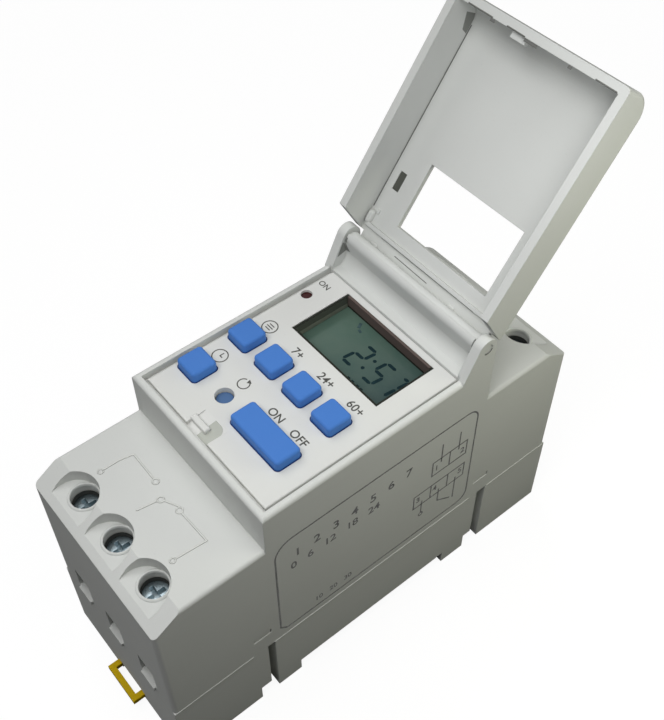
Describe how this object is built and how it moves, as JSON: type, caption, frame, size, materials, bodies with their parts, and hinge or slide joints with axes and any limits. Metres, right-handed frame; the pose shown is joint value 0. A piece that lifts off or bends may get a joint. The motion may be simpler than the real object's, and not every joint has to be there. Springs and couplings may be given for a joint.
{
  "type": "digital timer switch",
  "caption": "Two-module DIN rail timer switch with a display, blue keys, screw terminals, a spring rail clip and a flip lid that stands open.",
  "frame": {"origin": "centre of the face that lies against the rail, midway across the width and the rail channel", "axes": "+X across the width towards the side with the wiring label; +Y from the end with three terminals towards the lid's hinge; +Z away from the rail"},
  "size_m": [0.036, 0.0958, 0.1028],
  "materials": {
    "case_plastic": "satin moulded, warm light grey",
    "panel_plastic": "satin moulded, light grey",
    "key_plastic": "satin moulded, mid blue",
    "display_glass": "liquid crystal cell, grey-green with dark digits",
    "black_plastic": "matte black",
    "contact_rubber": "striped conductive rubber",
    "lamp_red": "dark red epoxy",
    "board_laminate": "green solder mask on glass epoxy",
    "zinc_steel": "zinc plated",
    "contact_brass": "tinned brass strip",
    "clip_plastic": "moulded, yellow",
    "spring_steel": "bare drawn wire",
    "relay_case": "moulded, dark blue",
    "winding_copper": "enamelled copper wire under tape",
    "soft_iron": "nickel plated iron",
    "film_box": "moulded box, yellow",
    "can_sleeve": "aluminium can in a dark sleeve",
    "varistor_epoxy": "blue epoxy",
    "resistor_lacquer": "beige lacquer",
    "chip_plastic": "black mould compound",
    "cell_steel": "nickel plated can"
  },
  "bodies": {
    "case": {"main_case": "case_plastic", "base_case": "case_plastic", "front_panel": "panel_plastic", "lcd_glass": "display_glass", "lcd_frame": "black_plastic", "contact_strips": "contact_rubber", "status_led": "lamp_red", "display_board": "board_laminate", "board_screws": "zinc_steel", "controller_chip": "chip_plastic", "clock_crystal": "cell_steel", "backup_cell": "cell_steel", "cell_tabs": "cell_steel", "tact_switches": "black_plastic", "power_board": "board_laminate", "link_wires": "contact_brass", "link_blocks": "black_plastic", "relay_cover": "relay_case", "relay_base": "black_plastic", "relay_coil": "winding_copper", "relay_core": "soft_iron", "relay_yoke": "soft_iron", "film_capacitor": "film_box", "smoothing_capacitor": "can_sleeve", "varistor": "varistor_epoxy", "resistors": "resistor_lacquer", "rectifier_diodes": "chip_plastic", "contact_bars": "contact_brass", "clip_spring": "spring_steel"},
    "key_clock": {"key_clock": "key_plastic", "plunger_clock": "black_plastic"},
    "key_program": {"key_program": "key_plastic", "plunger_program": "black_plastic"},
    "key_day": {"key_day": "key_plastic", "plunger_day": "black_plastic"},
    "key_hour": {"key_hour": "key_plastic", "plunger_hour": "black_plastic"},
    "key_minute": {"key_minute": "key_plastic", "plunger_minute": "black_plastic"},
    "key_manual": {"key_manual": "key_plastic", "plunger_manual": "black_plastic"},
    "key_reset": {"key_reset": "key_plastic", "plunger_reset": "black_plastic"},
    "lid": {"lid": "case_plastic"},
    "din_clip": {"din_clip": "clip_plastic"},
    "terminal_screw_1": {"terminal_screw_1": "zinc_steel"},
    "terminal_cage_1": {"terminal_cage_1": "zinc_steel"},
    "terminal_screw_2": {"terminal_screw_2": "zinc_steel"},
    "terminal_cage_2": {"terminal_cage_2": "zinc_steel"},
    "terminal_screw_3": {"terminal_screw_3": "zinc_steel"},
    "terminal_cage_3": {"terminal_cage_3": "zinc_steel"},
    "terminal_screw_4": {"terminal_screw_4": "zinc_steel"},
    "terminal_cage_4": {"terminal_cage_4": "zinc_steel"},
    "terminal_screw_5": {"terminal_screw_5": "zinc_steel"},
    "terminal_cage_5": {"terminal_cage_5": "zinc_steel"},
    "relay_armature": {"relay_armature": "soft_iron"}
  },
  "joints": [
    {"name": "key_clock_press", "type": "slide", "parent": "case", "child": "key_clock", "axis": [0, 0, -1], "range_m": [0, 0.0005], "stiffness_N_per_m": 300, "springref_m": -0.0005},
    {"name": "key_program_press", "type": "slide", "parent": "case", "child": "key_program", "axis": [0, 0, -1], "range_m": [0, 0.0005], "stiffness_N_per_m": 300, "springref_m": -0.0005},
    {"name": "key_day_press", "type": "slide", "parent": "case", "child": "key_day", "axis": [0, 0, -1], "range_m": [0, 0.0005], "stiffness_N_per_m": 300, "springref_m": -0.0005},
    {"name": "key_hour_press", "type": "slide", "parent": "case", "child": "key_hour", "axis": [0, 0, -1], "range_m": [0, 0.0005], "stiffness_N_per_m": 300, "springref_m": -0.0005},
    {"name": "key_minute_press", "type": "slide", "parent": "case", "child": "key_minute", "axis": [0, 0, -1], "range_m": [0, 0.0005], "stiffness_N_per_m": 300, "springref_m": -0.0005},
    {"name": "key_manual_press", "type": "slide", "parent": "case", "child": "key_manual", "axis": [0, 0, -1], "range_m": [0, 0.0005], "stiffness_N_per_m": 300, "springref_m": -0.0005},
    {"name": "key_reset_press", "type": "slide", "parent": "case", "child": "key_reset", "axis": [0, 0, -1], "range_m": [0, 0.0005], "stiffness_N_per_m": 300, "springref_m": -0.0005},
    {"name": "lid_hinge", "type": "hinge", "parent": "case", "child": "lid", "pos_m": [0, 0.022, 0.06005], "axis": [1, 0, 0], "range_deg": [0, 126]},
    {"name": "din_clip_pull", "type": "slide", "parent": "case", "child": "din_clip", "axis": [0, -1, 0], "range_m": [0, 0.003], "stiffness_N_per_m": 400, "springref_m": -0.004, "deforming": ["clip_spring"]},
    {"name": "terminal_screw_1_turn", "type": "hinge", "parent": "case", "child": "terminal_screw_1", "pos_m": [-0.01, -0.0393, 0.0319], "axis": [0, 0, -1], "range_deg": [0, 1801]},
    {"name": "terminal_cage_1_lift", "type": "slide", "parent": "case", "child": "terminal_cage_1", "axis": [0, 0, 1], "range_m": [0, 0.003]},
    {"name": "terminal_screw_2_turn", "type": "hinge", "parent": "case", "child": "terminal_screw_2", "pos_m": [0.0003, -0.0393, 0.0319], "axis": [0, 0, -1], "range_deg": [0, 1801]},
    {"name": "terminal_cage_2_lift", "type": "slide", "parent": "case", "child": "terminal_cage_2", "axis": [0, 0, 1], "range_m": [0, 0.003]},
    {"name": "terminal_screw_3_turn", "type": "hinge", "parent": "case", "child": "terminal_screw_3", "pos_m": [0.0106, -0.0393, 0.0319], "axis": [0, 0, -1], "range_deg": [0, 1801]},
    {"name": "terminal_cage_3_lift", "type": "slide", "parent": "case", "child": "terminal_cage_3", "axis": [0, 0, 1], "range_m": [0, 0.003]},
    {"name": "terminal_screw_4_turn", "type": "hinge", "parent": "case", "child": "terminal_screw_4", "pos_m": [-0.0103, 0.0393, 0.0319], "axis": [0, 0, -1], "range_deg": [0, 1801]},
    {"name": "terminal_cage_4_lift", "type": "slide", "parent": "case", "child": "terminal_cage_4", "axis": [0, 0, 1], "range_m": [0, 0.003]},
    {"name": "terminal_screw_5_turn", "type": "hinge", "parent": "case", "child": "terminal_screw_5", "pos_m": [0.0103, 0.0393, 0.0319], "axis": [0, 0, -1], "range_deg": [0, 1801]},
    {"name": "terminal_cage_5_lift", "type": "slide", "parent": "case", "child": "terminal_cage_5", "axis": [0, 0, 1], "range_m": [0, 0.003]},
    {"name": "relay_armature_tilt", "type": "hinge", "parent": "case", "child": "relay_armature", "pos_m": [0.00225, -0.007, 0.0305], "axis": [0, -1, 0], "range_deg": [0, 3], "stiffness_Nm_per_rad": 0.002, "springref_deg": -5.73}
  ],
  "couplings": [
    {"joint": "terminal_screw_1_turn", "follows": "terminal_cage_1_lift", "rad_per_m": 10472},
    {"joint": "terminal_screw_2_turn", "follows": "terminal_cage_2_lift", "rad_per_m": 10472},
    {"joint": "terminal_screw_3_turn", "follows": "terminal_cage_3_lift", "rad_per_m": 10472},
    {"joint": "terminal_screw_4_turn", "follows": "terminal_cage_4_lift", "rad_per_m": 10472},
    {"joint": "terminal_screw_5_turn", "follows": "terminal_cage_5_lift", "rad_per_m": 10472}
  ]
}
